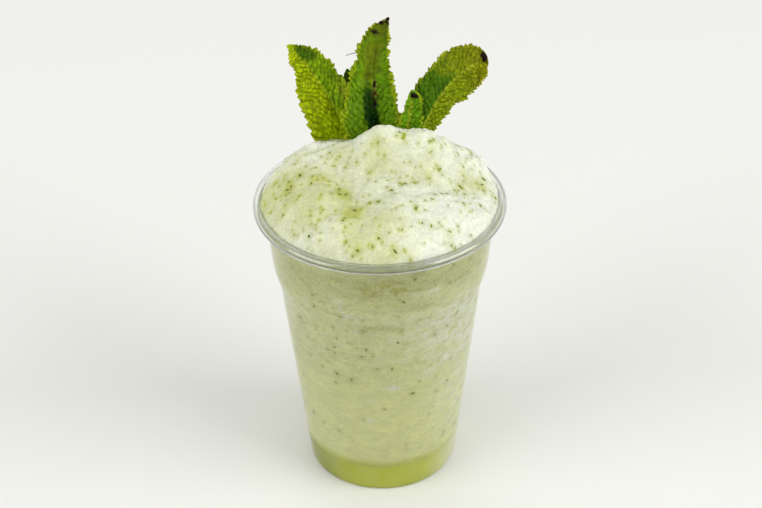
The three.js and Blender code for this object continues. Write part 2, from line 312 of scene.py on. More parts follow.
# Lumps and hollows: centre x and y, spread, height.
LUMPS = [
    (2, 5, 6.5, 12.7),
    (16.5, 4, 6.5, 11.4),
    (-8, 5, 6, 4.6),
    (-24, 9, 8.5, 5.9),
    (28, 6, 7.5, 4.7),
    (37, 16, 7, 4.1),
    (-36, 8, 6, 1.5),
    (33, -2, 7, -2.6),
    (8, -11, 8, -0.9),
    (25, -12, 7, -0.9),
    (-9.5, -21, 5.5, -2.8),
    (-22, -14, 7, 2.2),
    (12, -25, 8, 2.4),
    (0.8, -11.2, 3.6, 1.5),
    (4.5, -16.5, 3.5, 1.0),
    (-31.7, -19.7, 4, 1.3),
    (-20, -19.5, 3, 1.1),
    (14, -4, 4.5, 1.0),
    (27, -3, 4, 1.2),
    (35, -20.7, 5, 1.2),
    (-14.7, -33, 4, 1.2),
    (8, -35, 5, 1.0),
    (25, -19, 4, 1.2),
    (4.5, -27, 4, 1.0),
    (-36.4, 0.5, 4, 1.0),
    (21.6, -32, 4, 1.0),
    (-20, 26, 5, 1.4),
    (6, 33, 5, 1.3),
    (25, 23, 5, 1.3),
]
# Creases where one spoonful lies on the next: from x and y to x and y, width, depth.
CREASES = [
    (-13, 9.5, -30, 4.5, 1.3, 1.2),
    (-23, -28, -14.5, -25.5, 1.0, 0.8),
    (-12, -14, -9, -25, 2.2, 0.8),
    (-20, 26, 8, 30, 1.6, 1.2),
    (22, 24, 34, 12, 1.4, 1.0),
]
# Puffs and the icy grain on them: size and depth.
PUFFS = [(9, 0.9), (4.5, 0.5)]
GRAINS = [(2.4, 0.34), (1.1, 0.26)]
# Green hollows, partly syrup showing and partly painted shade in the hollows and over the shaded left of the
# heap:
# centre x and y, spread, strength. A negative one takes green away, as painted light where the leaves shade
# the heap.
GREEN_HOLLOWS_AND_SHADE = [
    (-9.2, -25.5, 2.7, 0.8),
    (-14.7, -17.7, 3.4, 0.2),
    (-20, -10, 13, 0.31),
    (4, -6.5, 5, 0.25),
    (13, -8.5, 4, 0.25),
    (-0.4, -2.4, 4, 0.3),
    (24, -7.5, 6, 0.25),
    (34.6, -3.4, 3.5, 0.5),
    (-41, -4, 6, 0.5),
    (-30, -18, 12, 0.4),
    (-3, -38, 11, 0.55),
    (-31, 6.4, 5, 0.2),
    (-14, 2, 4, 0.2),
    (2, 3, 6, 0.05),
    (15, 3, 6, 0.08),
    (-23.5, 7.5, 5, -0.3),
    (-10, 30, 12, 0.3),
    (25, 28, 9, 0.25),
]
# Whiter frost against the wall: bearing in degrees to the right of the front, height, widths, strength.
WALL_FROST = [
    (42, 82, 22, 11, 1.3),
    (60, 48, 26, 26, 0.45),
    (62, 68, 12, 4, 0.7),
    (43, 65, 10, 2.2, 0.7),
    (27, 61, 8, 2, 0.5),
    (24, 103, 10, 2.0, 0.7),
    (-22, 97, 4, 4, 0.8),
    (-13, 92.5, 7, 1.5, 0.6),
    (-15, 86, 4, 2, 0.5),
    (10, 91, 7, 1.5, 0.5),
    (-90, 85, 25, 10, 0.6),
    (150, 70, 30, 12, 0.7),
    (-150, 90, 25, 9, 0.6),
    (110, 95, 18, 8, 0.7),
]
# Flat bubbles of air between the ice and the wall, as above.
WALL_BUBBLES = [
    (6.5, 56.6, 5, 1.1, 1.0),
    (-8.4, 39.1, 2.5, 0.9, 0.8),
    (-6.5, 50, 3, 0.9, 0.5),
    (95, 60, 5, 1.2, 0.9),
    (-140, 45, 4, 1.1, 0.9),
]
# Greener bands against the wall, as above: the thin ones are syrup, and the broad ones just under the lip are
# painted shade of the lip.
WALL_SYRUP_AND_LIP_SHADE = [
    (5, 107, 32, 7, 1.0),
    (-48, 106, 18, 8, 0.5),
    (48, 107, 14, 7, 0.5),
    (20, 97, 12, 1.8, 0.6),
    (0, 88, 16, 1.6, 0.5),
    (-120, 106, 35, 7, 0.7),
    (130, 106, 35, 7, 0.6),
]
# How green the heap is in patches, how much greenish painted shade its creases get, how green it is round
# each shred of mint, and how green at most.
GREEN_PATCH = 0.22
GREEN_PATCH_SIZE = 7
CREASE_SHADE_GREEN = 0.3
GREEN_HALO = 0.4
GREEN_MOST = 0.95
# How green the wall is round each shred, and how green at most.
WALL_HALO = 0.5
WALL_HALO_MOST = 0.6
# How far the green spreads from a shred on the heap and at the wall, and how much more per length.
HEAP_HALO_REACH = 0.3
WALL_HALO_REACH = 0.4
HALO_GROWTH = 0.5
# Crumbs of ice at the wall: their sizes, the strength of the smaller ones, and how much flatter they lie.
WALL_CRUMB_SIZES = (4, 1.7)
SMALL_CRUMBS = 0.8
CRUMBS_FLATTER = 1.8
# How strongly the crumbs pale and green the wall, and how evenly, and how crumbled, the syrup with the
# painted shade under the lip, and the frost lie.
PALE_CRUMBS = 1.1
GREEN_CRUMBS = 0.6
SYRUP_AND_SHADE_EVEN = 0.9
SYRUP_AND_SHADE_CRUMBLED = 0.4
FROST_EVEN = 0.8
FROST_CRUMBLED = 1.3
# How much of the settled green the painted light at the right takes away.
PAINTED_LIGHT_HIDES = 0.8
# Heights between which the wall gets crumbly, turns paler below, and turns green above the settled layer.
WALL_CRUMBLES = (50, 80)
WALL_PALES = (72, 38)
WALL_SETTLES = (18, 13.2)
# Sizes of the grain, the clots and the swirls in the ice, the depth of the grain, and how flat they lie.
ICE_GRAIN = 1.0
ICE_GRAIN_DEPTH = 0.5
ICE_CLOT = 7
ICE_SWIRL = 14
ICE_FLATTER = 2.2
# How strongly the grain shows on the heap, low on the wall, and how much more where the wall is crumbly.
HEAP_GRAINY = 0.55
WALL_GRAINY = 0.3
CRUMBS_GRAINY = 0.4
HEAP_PALE = "#e2e5d5"
HEAP_GREEN_AND_SHADE = "#b6bc62"
WALL_PALE = "#ebedb0"
WALL_LOW = "#f1f3b6"
WALL_WHITE = "#fbfcea"
WALL_CRUMB = "#f1f3ca"
WALL_AIR = "#fbfcf2"
WALL_GREEN = "#bfc164"
WALL_SETTLED = "#d8de62"


# The heap with its lumps, before creases and puffs.
def heap_height(x, y):
    share = np.minimum(np.hypot(x, y) / drink_radius(HEAP_EDGE - 1), 1)
    mound = HEAP_RISE * (1 - share ** HEAP_ROUNDNESS) ** HEAP_FALL
    fade = smooth_step(0, HEAP_PLAIN_EDGE, 1 - share)
    bumps = sum(rise * np.exp(-((x - lx) ** 2 + (y - ly) ** 2) / (2 * spread ** 2))
                for lx, ly, spread, rise in LUMPS)
    return HEAP_EDGE + mound + fade * bumps


def crease_depth(x, y):
    depth = 0
    for x1, y1, x2, y2, width, deep in CREASES:
        along = np.array((x2 - x1, y2 - y1))
        t = np.clip(((x - x1) * along[0] + (y - y1) * along[1]) / (along @ along), 0, 1)
        away = np.hypot(x - x1 - t * along[0], y - y1 - t * along[1])
        depth = depth + deep * np.exp(-(away / width) ** 2) * np.sin(math.pi * (0.1 + 0.8 * t))
    return depth


# Round puffs with sharp valleys between them, and the grain.
def puffy(x, y):
    place = Vector((x, y, float(heap_height(x, y))))
    puffs = sum(depth * (2 * abs(noise.noise(place / size)) - 0.4) for size, depth in PUFFS)
    return puffs + sum(depth * noise.noise(place / size) for size, depth in GRAINS)


def heap_top(x, y):
    share = math.hypot(x, y) / drink_radius(HEAP_EDGE - 1)
    return float(heap_height(x, y) - crease_depth(x, y)) + puffy(x, y) * min(1, (1 - share) / PUFFS_FADE)


slush_angles = np.arange(SLUSH_STEPS_AROUND) * 2 * math.pi / SLUSH_STEPS_AROUND
slush_round = np.stack([np.cos(slush_angles), np.sin(slush_angles)], axis=1)
slush_rings = []
for height in np.linspace(SETTLED_LEVEL, HEAP_EDGE - 1, SIDE_RINGS):
    level = np.full((SLUSH_STEPS_AROUND, 1), height)
    slush_rings.append(np.hstack([slush_round * drink_radius(height), level]))
edge_radius = float(drink_radius(HEAP_EDGE - 1))
for share in 1 - np.linspace(0, 1, HEAP_RINGS + 1)[1:-1] ** RING_CROWDING:
    ring = slush_round * edge_radius * share
    heights = [[heap_top(x, y)] for x, y in ring]
    slush_rings.append(np.hstack([ring, heights]))
slush_points, slush_faces = closed_rings(slush_rings, (0, 0, SETTLED_LEVEL), (0, 0, heap_top(0, 0)))

# Where the chopped mint lies, drawn here because each shred stains the ice round it green.
# On the heap they lie within a share of its radius, and at the wall between two heights.
# Lengths go from the shortest up by at most the spread, and most are short.
HEAP_SHREDS = 480
HEAP_SHRED_REACH = 0.97
HEAP_SHRED_SHORTEST = 0.3
HEAP_SHRED_SPREAD = 1.3
WALL_SHREDS = 130
WALL_SHRED_HEIGHTS = (20, 114)
WALL_SHRED_SHORTEST = 0.5
WALL_SHRED_SPREAD = 0.9
# The larger shreds on the front of the heap: x, y, length.
HEAP_LARGE = [
    (-32.6, -6.9, 1.7), (-34, -8.2, 1.5), (-34.2, -10.7, 1.2), (-12.4, -4.1, 1.2), (-3.2, -7, 2.2),
    (19, -2.4, 1.9), (-8.8, -23.2, 1.9), (39, 2.8, 2.2), (38.6, -2.6, 1.6), (18.1, -9.2, 1.7),
    (9, 1.9, 2.6), (-12.3, -15.7, 1.8), (-29.3, -3.6, 1.5), (-40, -13, 1.5), (-25.5, -32, 1.5),
    (-8, -40.4, 1.4), (5.2, -41.4, 1.9), (18.2, -32.6, 1.5), (36.8, -14.3, 1.6), (-0.7, -37.3, 1.4),
]
# The larger shreds at the front of the wall: bearing in degrees to the right of the front, height, length.
WALL_LARGE = [
    (-52, 82, 1.5), (-37, 93.4, 1.5), (-37, 99, 1.1), (-38, 102.3, 1.0), (-10.5, 86.7, 1.4),
    (11.2, 86.2, 1.3), (-8.8, 76.5, 1.6), (-32.5, 72.6, 1.3), (-28.2, 61.4, 1.6), (-18.7, 60, 1.4),
    (-21.7, 92.5, 2.0), (11.3, 100.6, 1.7), (19.1, 52.3, 1.7), (-55.7, 31.6, 1.2), (5.9, 66.9, 1.2),
    (16.6, 110.6, 1.5),
]
# A brown shred at the wall, as above.
BROWN_SHRED = (9, 80, 1.3)
shred_draw = random.Random(7)
heap_shreds = list(HEAP_LARGE)
for count in range(HEAP_SHREDS):
    away = HEAP_SHRED_REACH * edge_radius * math.sqrt(shred_draw.random())
    bearing = shred_draw.uniform(0, 2 * math.pi)
    length = HEAP_SHRED_SHORTEST + HEAP_SHRED_SPREAD * shred_draw.random() ** 4
    heap_shreds.append((away * math.cos(bearing), away * math.sin(bearing), length))
wall_shreds = [(math.radians(bearing), height, length) for bearing, height, length in WALL_LARGE]
for count in range(WALL_SHREDS):
    bearing = shred_draw.uniform(-math.pi, math.pi)
    height = shred_draw.uniform(*WALL_SHRED_HEIGHTS)
    length = WALL_SHRED_SHORTEST + WALL_SHRED_SPREAD * shred_draw.random() ** 2
    wall_shreds.append((bearing, height, length))

# Colours of the heap, then of the slush against the wall, with the painted light and shade in them.
heap_start = SIDE_RINGS * SLUSH_STEPS_AROUND
heap_xy = slush_points[heap_start:, :2]
heap_places = [Vector((x, y, GREEN_PATCH_SIZE)) for x, y in heap_xy]
green = GREEN_PATCH * np.array([noise.noise(place / GREEN_PATCH_SIZE) for place in heap_places])
# Syrup in the hollows, and painted shade in them and over the shaded left.
for x, y, spread, strength in GREEN_HOLLOWS_AND_SHADE:
    green += strength * np.exp(-((heap_xy[:, 0] - x) ** 2 + (heap_xy[:, 1] - y) ** 2) / (2 * spread ** 2))
# Greenish painted shade in the creases.
green += CREASE_SHADE_GREEN * crease_depth(heap_xy[:, 0], heap_xy[:, 1])
for x, y, length in heap_shreds:
    reach = HEAP_HALO_REACH + HALO_GROWTH * length
    green += GREEN_HALO * np.exp(-((heap_xy[:, 0] - x) ** 2 + (heap_xy[:, 1] - y) ** 2) / (2 * reach ** 2))
heap_colour = np.tile(np.array(linear(HEAP_PALE)), (len(heap_xy), 1))
heap_colour = blended(heap_colour, HEAP_GREEN_AND_SHADE, np.clip(green, 0, GREEN_MOST))

wall_points = slush_points[:heap_start]
wall_bearing = np.degrees(np.arctan2(wall_points[:, 0], -wall_points[:, 1]))
wall_height = wall_points[:, 2]


# Soft patches on the wall, added up.
def wall_patches(patches):
    total = np.zeros(len(wall_points))
    for bearing, height, wide, high, strength in patches:
        turn = (wall_bearing - bearing + 180) % 360 - 180
        total += strength * np.exp(-(turn / wide) ** 2 - ((wall_height - height) / high) ** 2)
    return np.clip(total, 0, 1)


wall_colour = np.tile(np.array(linear(WALL_PALE)), (len(wall_points), 1))
wall_colour = blended(wall_colour, WALL_LOW, smooth_step(*WALL_PALES, wall_height))
wall_places = [Vector((x, y, CRUMBS_FLATTER * z)) for x, y, z in wall_points]
large_crumbs, small_crumbs = (
    np.array([noise.noise(place / size) for place in wall_places]) for size in WALL_CRUMB_SIZES)
wall_grain = large_crumbs + SMALL_CRUMBS * small_crumbs
wall_crumbly = smooth_step(*WALL_CRUMBLES, wall_height)
wall_colour = blended(wall_colour, WALL_CRUMB, np.clip(PALE_CRUMBS * wall_grain, 0, 1) * wall_crumbly)
wall_colour = blended(wall_colour, WALL_GREEN, np.clip(-GREEN_CRUMBS * wall_grain, 0, 1) * wall_crumbly)
# Syrup streaks, and the painted shade in a band under the lip.
syrup_and_lip_shade = wall_patches(WALL_SYRUP_AND_LIP_SHADE) * (SYRUP_AND_SHADE_EVEN + SYRUP_AND_SHADE_CRUMBLED * wall_grain)
wall_colour = blended(wall_colour, WALL_GREEN, np.clip(syrup_and_lip_shade, 0, 1))
frost = wall_patches(WALL_FROST) * (FROST_EVEN + FROST_CRUMBLED * wall_grain)
wall_colour = blended(wall_colour, WALL_WHITE, np.clip(frost, 0, 1))
halos = np.zeros(len(wall_points))
for bearing, height, length in wall_shreds:
    turn = (wall_bearing - math.degrees(bearing) + 180) % 360 - 180
    sideways = np.radians(turn) * drink_radius(height)
    reach = WALL_HALO_REACH + HALO_GROWTH * length
    halos += WALL_HALO * np.exp(-(sideways ** 2 + (wall_height - height) ** 2) / (2 * reach ** 2))
wall_colour = blended(wall_colour, WALL_GREEN, np.clip(halos, 0, WALL_HALO_MOST))
wall_colour = blended(wall_colour, WALL_AIR, wall_patches(WALL_BUBBLES))
# The green above the settled layer is painted paler at the right, as painted light.
wall_painted_light = smooth_step(*SETTLED_LIGHT_RISES, wall_bearing) - smooth_step(*SETTLED_LIGHT_FADES, wall_bearing)
wall_green = smooth_step(*WALL_SETTLES, wall_height) * (1 - PAINTED_LIGHT_HIDES * wall_painted_light)
wall_colour = blended(wall_colour, WALL_SETTLED, wall_green)

# Lemon ice, blended and wet: light sinks in a few millimetres, so the lit lumps are creamy and soft,
# and whitish wisps of ice show where it lies against the wall.
ice = new_material("Lemon ice, blended and wet")
ice_place = add_node(ice, "ShaderNodeTexCoord")
# The colour carries the painted shade and painted light of the heap and the wall.
ice_colour_light_and_shade = add_node(ice, "ShaderNodeAttribute", attribute_name="ice_colour_light_and_shade")
ice_wispy = add_node(ice, "ShaderNodeAttribute", attribute_name="wispy")
ice_grainy = add_node(ice, "ShaderNodeAttribute", attribute_name="grainy")
ice_grain = add_node(ice, "ShaderNodeTexNoise", {
    "Vector": ice_place.outputs["Object"], "Scale": 1 / (ICE_GRAIN * MM), "Detail": 4.0})
ice_flat = add_node(ice, "ShaderNodeMapping", {
    "Vector": ice_place.outputs["Object"], "Scale": (1, 1, ICE_FLATTER)})
ice_clots = add_node(ice, "ShaderNodeTexNoise", {
    "Vector": ice_flat.outputs[0], "Scale": 1 / (ICE_CLOT * MM), "Detail": 5.0, "Roughness": 0.6,
    "Distortion": 0.8})
ice_clot_light = add_node(ice, "ShaderNodeMapRange", {
    "Value": ice_clots.outputs[0], "From Min": 0.3, "From Max": 0.7, "To Min": 0.9, "To Max": 1.07})
ice_grain_light = add_node(ice, "ShaderNodeMapRange", {
    "Value": ice_grain.outputs[0], "From Min": 0.3, "From Max": 0.7, "To Min": -0.2, "To Max": 0.14})
ice_grain_here = add_node(ice, "ShaderNodeMath", {
    0: ice_grain_light.outputs[0], 1: ice_grainy.outputs["Fac"]}, operation="MULTIPLY")
ice_light = add_node(ice, "ShaderNodeMath", {
    0: ice_clot_light.outputs[0], 1: ice_grain_here.outputs[0], 2: ice_clot_light.outputs[0]},
    operation="MULTIPLY_ADD")
ice_toned = add_node(ice, "ShaderNodeVectorMath", {
    0: ice_colour_light_and_shade.outputs["Color"], "Scale": ice_light.outputs[0]}, operation="SCALE")
ice_swirl = add_node(ice, "ShaderNodeTexNoise", {
    "Vector": ice_flat.outputs[0], "Scale": 1 / (ICE_SWIRL * MM), "Detail": 9.0, "Roughness": 0.75,
    "Distortion": 0.8})
ice_from_line = add_node(ice, "ShaderNodeMath", {0: ice_swirl.outputs[0], 1: 0.5}, operation="SUBTRACT")
ice_near_line = add_node(ice, "ShaderNodeMath", {0: ice_from_line.outputs[0]}, operation="ABSOLUTE")
ice_wisp = add_node(ice, "ShaderNodeMapRange", {
    "Value": ice_near_line.outputs[0], "From Min": 0.0, "From Max": 0.07, "To Min": 0.5, "To Max": 0.0})
ice_wisp_here = add_node(ice, "ShaderNodeMath", {
    0: ice_wisp.outputs[0], 1: ice_wispy.outputs["Fac"]}, operation="MULTIPLY")
ice_streaked = add_node(ice, "ShaderNodeMix", {
    MIX_FACTOR: ice_wisp_here.outputs[0], MIX_A: ice_toned.outputs[0], MIX_B: linear(WALL_CRUMB)},
    data_type="RGBA")
ice_bump = add_node(ice, "ShaderNodeBump", {
    "Height": ice_grain.outputs[0], "Strength": 0.6, "Distance": ICE_GRAIN_DEPTH * MM})
ice_shader = add_node(ice, "ShaderNodeBsdfPrincipled", {
    "Base Color": ice_streaked.outputs[MIX_RESULT], "Roughness": 0.45, "IOR": 1.31, "Subsurface Weight": 0.4,
    "Subsurface Radius": (1.0, 1.0, 0.5), "Subsurface Scale": 2.5 * MM, "Normal": ice_bump.outputs[0]})
add_node(ice, "ShaderNodeOutputMaterial", {"Surface": ice_shader.outputs[0]})

slush = add_piece("slush_heap", slush_points, slush_faces, ice)
wispy = np.zeros(len(slush_points))
wispy[:heap_start] = wall_crumbly
add_attribute(slush, "ice_colour_light_and_shade", "FLOAT_COLOR", "color", np.concatenate([wall_colour, heap_colour]))
add_attribute(slush, "wispy", "FLOAT", "value", wispy)
grainy = np.full(len(slush_points), HEAP_GRAINY)
grainy[:heap_start] = WALL_GRAINY + CRUMBS_GRAINY * wall_crumbly
add_attribute(slush, "grainy", "FLOAT", "value", grainy)
carried(slush, "lemon_slush", "slush")


# The chopped mint: fine shreds of leaf blended into the slush, lying on the heap and against the wall.
# Each is a thin bent scrap of leaf, mostly under a millimetre long and at most about two.
SHRED_THICKNESS = 0.16
SHRED_STEPS = 3
# How far a shred's middle stands above the ice.
SHRED_PROUD = 0.06
SHRED_NARROWEST = 0.25
# Widths as shares of the length.
HEAP_SHRED_WIDTHS = (0.25, 0.55)
WALL_SHRED_WIDTHS = (0.45, 0.8)
SHRED_CURLS = (-0.05, 0.12)
# Darkest and lightest on the heap, and at the wall, where a film of ice pales them.
SHRED_GREENS = ("#4a660a", "#94a826")
SUNK_GREENS = ("#869818", "#b8c04a")
SHRED_BROWN = "#9c8448"


# One scrap of leaf: a thin bent strip with a ragged outline.
def shred(centre, normal, length, width, turn, curl):
    normal = normal.normalized()
    first = normal.orthogonal().normalized()
    first.rotate(Matrix.Rotation(turn, 3, normal))
    second = normal.cross(first)
    points = []
    for level in (SHRED_THICKNESS / 2, -SHRED_THICKNESS / 2):
        for i in range(SHRED_STEPS + 1):
            t = i / SHRED_STEPS - 0.5
            half = width / 2 * (1 - 2 * t * t) * shred_draw.uniform(0.7, 1.15)
            for way in (-1, 1):
                lift = level + curl * t * t * length
                points.append(tuple(centre + first * (t * length) + second * (way * half) + normal * lift))
    under = 2 * (SHRED_STEPS + 1)
    faces = [(0, 1, under + 1, under), (under - 2, 2 * under - 2, 2 * under - 1, under - 1)]
    for a in range(0, 2 * SHRED_STEPS, 2):
        faces.append((a, a + 2, a + 3, a + 1))
        faces.append((under + a, under + a + 1, under + a + 3, under + a + 2))
        faces.append((a, under + a, under + a + 2, a + 2))
        faces.append((a + 1, a + 3, under + a + 3, under + a + 1))
    return points, faces


# Mint leaf, chopped: bruised green from dark to yellowish, wet and a little glossy.
chopped_mint = new_material("Mint leaf, chopped")
shred_colour = add_node(chopped_mint, "ShaderNodeAttribute", attribute_name="shred_colour")
shred_shader = add_node(chopped_mint, "ShaderNodeBsdfPrincipled", {
    "Base Color": shred_colour.outputs["Color"], "Roughness": 0.4, "IOR": 1.4})
add_node(chopped_mint, "ShaderNodeOutputMaterial", {"Surface": shred_shader.outputs[0]})


def add_shreds(name, places):
    points = []
    faces = []
    colours = []
    for centre, normal, length, width, colour in places:
        curl = shred_draw.uniform(*SHRED_CURLS)
        some, these = shred(centre, normal, length, width, shred_draw.uniform(0, math.pi), curl)
        faces += [tuple(corner + len(points) for corner in face) for face in these]
        points += some
        colours += [colour] * len(some)
    piece = add_piece(name, points, faces, chopped_mint)
    add_attribute(piece, "shred_colour", "FLOAT_COLOR", "color", colours)
    carried(piece, "mint_leaf", "slush")


# A colour drawn at random between two.
def drawn_between(colours):
    dark, light = (np.array(linear(colour)) for colour in colours)
    return dark + (light - dark) * shred_draw.random()


shreds_on_heap = []
for x, y, length in heap_shreds:
    slope_x = float(heap_height(x + 0.5, y) - heap_height(x - 0.5, y))
    slope_y = float(heap_height(x, y + 0.5) - heap_height(x, y - 0.5))
    place = Vector((x, y, heap_top(x, y) + SHRED_PROUD))
    facing = Vector((-slope_x, -slope_y, 1))
    width = max(SHRED_NARROWEST, length * shred_draw.uniform(*HEAP_SHRED_WIDTHS))
    shreds_on_heap.append((place, facing, length, width, drawn_between(SHRED_GREENS)))
add_shreds("mint_shreds_on_heap", shreds_on_heap)

shreds_at_wall = []
brown_bearing, brown_height, brown_length = BROWN_SHRED
for bearing, height, length in wall_shreds + [(math.radians(brown_bearing), brown_height, brown_length)]:
    out = Vector((math.sin(bearing), -math.cos(bearing), 0))
    place = out * float(drink_radius(height)) + Vector((0, 0, height))
    width = length * shred_draw.uniform(*WALL_SHRED_WIDTHS)
    shreds_at_wall.append((place, out, length, width, drawn_between(SUNK_GREENS)))
shreds_at_wall[-1] = shreds_at_wall[-1][:4] + (np.array(linear(SHRED_BROWN)),)
add_shreds("mint_shreds_at_wall", shreds_at_wall)


# The mint leaves: fresh leaves from one sprig, pushed into the heap behind its peak and a little bruised.
# Each is a thin blade with a sunken midrib, side veins, a quilted surface and a toothed margin.
LEAF_THICKNESS = 0.4
LEAF_STEPS_ALONG = 190
LEAF_STEPS_ACROSS = 76
MIDRIB_WIDTH = 0.45
MIDRIB_DEPTH = 0.35
VEIN_SPACING = 2.8
# A vein's width as a share of the spacing, and how far it runs on along the leaf for each millimetre out.
VEIN_WIDTH = 0.1
VEIN_SLANT = 1.15
VEIN_DEPTH = 0.45
QUILT_SIZE = 1.7
QUILT_DEPTH = 0.45
# The share of a quilted cell over which its side rises.
QUILT_SLOPE = 0.4
CRUMPLE_SIZE = 5
CRUMPLE_DEPTH = 1.1
TOOTH_LENGTH = 2.7
TOOTH_DEPTH = 1.2
FRAY_SIZE = 1.3
RIPPLE_TURN = 20
RIPPLE_SLANT = 3
# Half widths below which quilting and teeth, and the whole relief, get lower.
QUILT_FULL_WIDTH = 4
RELIEF_FULL_WIDTH = 3
# Each leaf takes its patterns this far from the last one's.
PATTERN_STEP = 40.0
# Shares of the leaf's length that the round end takes, and of its colour that the margin tints.
TIP_ROUNDING = 0.08
MARGIN_TINT = 0.45
MOTTLE_SIZE = 1.8
MOTTLE_DEPTH = 0.3
LEAF_MIDRIB = "#c2ca3a"
LEAF_CREASE_SHADE = "#2f5206"
LEAF_MARGIN = "#c2c21c"
LEAF_BROWN = "#1c0b09"
# The midrib runs from base over bend to tip, and the face looks along facing, at the base and at the tip.
# Left and right are half widths at even steps from base to tip. Fold lifts the margins. Groove is low for a
# sharp crease at the midrib and high for margins that curl up. Smooth is where the middle loses its quilting.
# Colours are the left half, the right half and the end, where a darker half is painted shade on a half turned
# from the light.
# Patches are share along, offset across from -1 to 1, half length, half width, colour and strength; some are
# stains, and some painted light and shade.
LEAVES = [
    {"name": "mint_leaf_left",
     "base": (-6.3, 17.6, 123.6), "bend": (-25.6, 32.1, 164.0), "tip": (-34.0, 33.0, 166.5),
     "facing": ((0.1, -1.0, 0.2), (-0.1, -1.0, 0.35)),
     "left": (4, 11.4, 10.2, 6.9, 3.3, 0.6), "right": (3, 6, 8.8, 8.3, 4.2, 0.6),
     "fold": (0.4, 0.3), "groove": (1.1, 1.2), "ripple": 0.4, "smooth": 2,
     # The right half is painted darker, as painted shade.
     "colours": ("#a8bc04", "#7ea00a", "#a4b60a"),
     # The lighter patch low on the left half is painted light where the base turns into shade, and the
     # brownish strip on the right half is painted shadow of the middle leaf's margin.
     "patches": [(0.18, -0.3, 9, 5, "#b2cc06", 0.5), (0.3, 0.75, 7, 1.6, "#8a8420", 0.5),
                 (0.74, 0.4, 7, 2.8, "#3a5e06", 0.9)]},
    {"name": "mint_leaf_centre",
     "base": (2.1, 13.6, 126.0), "bend": (-7.0, 27.8, 163.0), "tip": (4.2, 33.4, 177.5),
     "facing": ((0.05, -1.0, 0.3), (0.05, -1.0, 0.3)),
     "left": (4, 12.9, 10.6, 7.5, 5.9, 0.6), "right": (3, 8.6, 7.7, 5.6, 3.6, 1.0),
     "fold": (0.6, 0.5), "groove": (0.75, 2.4), "ripple": 0.3, "smooth": 0.4,
     "colours": ("#688c06", "#648c04", "#5a620a"),
     # The two dark patches left of the midrib low down are painted shade in the groove of the fold.
     "patches": [(0.62, -0.1, 10, 4.0, "#66720a", 0.8), (0.12, -0.04, 12, 3.0, "#031a01", 1.0),
                 (0.3, -0.14, 9, 3.0, "#0a3003", 0.9), (0.4, 0.05, 5, 1.0, "#6a5a2a", 0.8),
                 (0.98, 0.1, 2.6, 0.9, LEAF_BROWN, 1), (0.92, -0.6, 1.2, 1.1, LEAF_BROWN, 1),
                 (0.83, -0.45, 1.6, 1.7, LEAF_BROWN, 1), (0.44, 0.03, 1.4, 0.7, LEAF_BROWN, 1),
                 (0.34, 0.03, 2.4, 0.6, LEAF_BROWN, 1)]},
    {"name": "mint_leaf_right",
     "base": (11.8, 16.0, 124.6), "bend": (22.8, 26.9, 158.3), "tip": (41.1, 28.2, 162.2),
     "facing": ((0.1, -1.0, 0.25), (0.1, -1.0, 0.3)),
     "left": (3, 6, 9.6, 9.2, 9.3, 5), "right": (2.5, 4.5, 6.9, 9.1, 8.7, 4.5),
     "fold": (-0.35, -0.15), "groove": (1.1, 1.2), "ripple": 0.4, "smooth": 2,
     # The left half is painted darker, as painted shade, and the patch near the tip lifts it again.
     "colours": ("#4c7408", "#849404", "#8a8a08"),
     "patches": [(0.7, -0.4, 8, 5, "#86900a", 0.6), (0.97, -0.3, 1.8, 2.8, LEAF_BROWN, 1)]},
    {"name": "mint_leaf_right_small",
     "base": (10.1, 8.2, 126.5), "bend": (11.2, 12.0, 141.5), "tip": (12.6, 16.0, 156.3),
     "facing": ((0.2, -1.0, 0.2), (0.2, -1.0, 0.2)),
     "left": (3, 4.4, 4.6, 4.0, 2.8, 1.0), "right": (2.5, 3.8, 4.2, 4.4, 4.0, 2.0),
     "fold": (0.35, 0.3), "groove": (1.0, 1.2), "ripple": 0.25, "smooth": 2,
     "colours": ("#64960a", "#66940a", "#5c880c"),
     "patches": [(0.6, -0.2, 8, 0.8, "#93981e", 0.5), (0.93, 0.3, 1.2, 1.6, LEAF_BROWN, 1)]},
    {"name": "mint_leaf_back",
     "base": (-10.6, 25.7, 122.5), "bend": (-11.2, 30.6, 142.5), "tip": (-11.6, 34.0, 156.0),
     "facing": ((0.0, -1.0, 0.2), (0.0, -1.0, 0.2)),
     "left": (2, 3.5, 4, 4, 3, 0.8), "right": (2, 3.5, 4, 4, 3, 0.8),
     "fold": (0.3, 0.3), "groove": (1.2, 1.2), "ripple": 0.2, "smooth": 2,
     "colours": ("#365c08", "#3c640a", "#365c08"), "patches": []},
]


def unit(vectors):
    return vectors / np.linalg.norm(vectors, axis=-1, keepdims=True)


# A smooth curve through values at even steps, read at each share of the way.
def between(values, share):
    values = np.array(values, float)
    padded = np.concatenate([values[:1], values, values[-1:]])
    place = np.clip(share, 0, 1) * (len(values) - 1)
    i = np.minimum(place.astype(int), len(values) - 2)
    f = place - i
    a, b, c, d = (padded[i + k] for k in range(4))
    return b + 0.5 * f * (c - a + f * (2 * a - 5 * b + 4 * c - d + f * (3 * (b - c) + d - a)))


def mixed(pair, share):
    return np.array(pair[0]) * (1 - share) + np.array(pair[1]) * share


